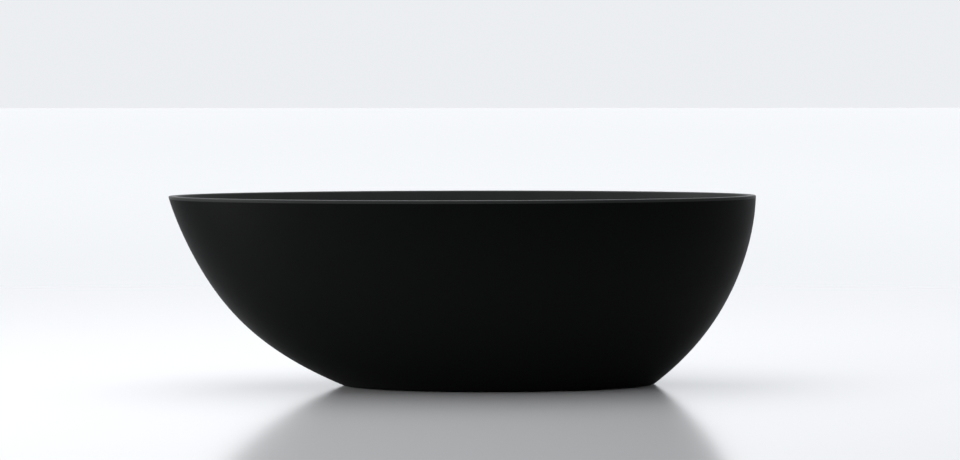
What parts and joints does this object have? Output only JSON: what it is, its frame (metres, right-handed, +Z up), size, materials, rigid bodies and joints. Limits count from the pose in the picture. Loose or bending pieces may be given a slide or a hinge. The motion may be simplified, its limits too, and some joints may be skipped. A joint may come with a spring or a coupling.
{
  "type": "freestanding bathtub",
  "caption": "Freestanding oval bath with a long sloping head end, a double wall on a steel underframe, levelling legs, a push plug waste and an overflow.",
  "frame": {"origin": "on the floor, under the middle of the rim", "axes": "+X towards the foot end, where the waste and overflow are; +Y to the back; +Z up"},
  "size_m": [1.6989, 0.7996, 0.55],
  "materials": {
    "matt_black_acrylic": "matt, with a soft sheen",
    "black_sealant": "matt",
    "glass_fibre_laminate": "rough, sprayed fibres in resin",
    "board": "bare",
    "black_steel": "satin powder coat",
    "zinc_steel": "zinc plated",
    "black_nylon": "moulded",
    "black_rubber": "matt",
    "chrome": "polished",
    "grey_pipe": "moulded",
    "spring_steel": "drawn wire"
  },
  "bodies": {
    "bath": {"outer_skin": "matt_black_acrylic", "basin_skin": "matt_black_acrylic", "rim_bond": "black_sealant", "outer_laminate": "glass_fibre_laminate", "basin_laminate": "glass_fibre_laminate", "base_board": "board", "frame_rail_front": "black_steel", "frame_rail_back": "black_steel", "crossbar_head": "black_steel", "crossbar_middle": "black_steel", "crossbar_foot": "black_steel", "weld_nuts": "zinc_steel", "rail_end_plugs": "black_nylon", "board_screws": "zinc_steel", "bracket_screws": "zinc_steel", "waste_body": "chrome", "waste_upper_seal": "black_rubber", "waste_lower_seal": "black_rubber", "overflow_tee": "grey_pipe", "waste_lock_nut": "grey_pipe", "outlet_washer": "black_rubber", "union_nut": "chrome", "tailpiece": "chrome", "plug_cartridge": "grey_pipe", "overflow_gasket": "black_rubber", "overflow_body": "grey_pipe", "overflow_ring": "chrome", "overflow_cover": "chrome", "overflow_screw": "zinc_steel", "overflow_pipe": "grey_pipe", "skirt_bracket_head_front": "zinc_steel", "skirt_bracket_head_back": "zinc_steel", "skirt_bracket_foot_front": "zinc_steel", "skirt_bracket_foot_back": "zinc_steel"},
    "plug": {"plug_cap": "chrome", "plug_gasket": "black_rubber", "plug_stem": "chrome", "plug_spring": "spring_steel"},
    "pad_head_front": {"leg_pad_head_front": "black_nylon", "leg_sole_head_front": "black_rubber"},
    "stud_head_front": {"leg_stud_head_front": "zinc_steel", "leg_nut_head_front": "zinc_steel"},
    "pad_head_back": {"leg_pad_head_back": "black_nylon", "leg_sole_head_back": "black_rubber"},
    "stud_head_back": {"leg_stud_head_back": "zinc_steel", "leg_nut_head_back": "zinc_steel"},
    "pad_foot_front": {"leg_pad_foot_front": "black_nylon", "leg_sole_foot_front": "black_rubber"},
    "stud_foot_front": {"leg_stud_foot_front": "zinc_steel", "leg_nut_foot_front": "zinc_steel"},
    "pad_foot_back": {"leg_pad_foot_back": "black_nylon", "leg_sole_foot_back": "black_rubber"},
    "stud_foot_back": {"leg_stud_foot_back": "zinc_steel", "leg_nut_foot_back": "zinc_steel"}
  },
  "joints": [
    {"name": "plug_press", "type": "slide", "parent": "bath", "child": "plug", "axis": [0, 0, 1], "range_m": [-0.009, 0], "stiffness_N_per_m": 600, "springref_m": 0.01, "deforming": ["plug_spring"]},
    {"name": "leg_travel_head_front", "type": "slide", "parent": "bath", "child": "pad_head_front", "axis": [0, 0, -1], "range_m": [0, 0.025]},
    {"name": "leg_turn_head_front", "type": "hinge", "parent": "pad_head_front", "child": "stud_head_front", "pos_m": [-0.157, -0.115, 0.0085], "axis": [0, 0, -1], "range_deg": [0, 5143.37]},
    {"name": "leg_travel_head_back", "type": "slide", "parent": "bath", "child": "pad_head_back", "axis": [0, 0, -1], "range_m": [0, 0.025]},
    {"name": "leg_turn_head_back", "type": "hinge", "parent": "pad_head_back", "child": "stud_head_back", "pos_m": [-0.157, 0.115, 0.0085], "axis": [0, 0, -1], "range_deg": [0, 5143.37]},
    {"name": "leg_travel_foot_front", "type": "slide", "parent": "bath", "child": "pad_foot_front", "axis": [0, 0, -1], "range_m": [0, 0.025]},
    {"name": "leg_turn_foot_front", "type": "hinge", "parent": "pad_foot_front", "child": "stud_foot_front", "pos_m": [0.363, -0.115, 0.0085], "axis": [0, 0, -1], "range_deg": [0, 5143.37]},
    {"name": "leg_travel_foot_back", "type": "slide", "parent": "bath", "child": "pad_foot_back", "axis": [0, 0, -1], "range_m": [0, 0.025]},
    {"name": "leg_turn_foot_back", "type": "hinge", "parent": "pad_foot_back", "child": "stud_foot_back", "pos_m": [0.363, 0.115, 0.0085], "axis": [0, 0, -1], "range_deg": [0, 5143.37]}
  ],
  "couplings": [
    {"joint": "leg_turn_head_front", "follows": "leg_travel_head_front", "rad_per_m": 3590.4},
    {"joint": "leg_turn_head_back", "follows": "leg_travel_head_back", "rad_per_m": 3590.4},
    {"joint": "leg_turn_foot_front", "follows": "leg_travel_foot_front", "rad_per_m": 3590.4},
    {"joint": "leg_turn_foot_back", "follows": "leg_travel_foot_back", "rad_per_m": 3590.4}
  ]
}
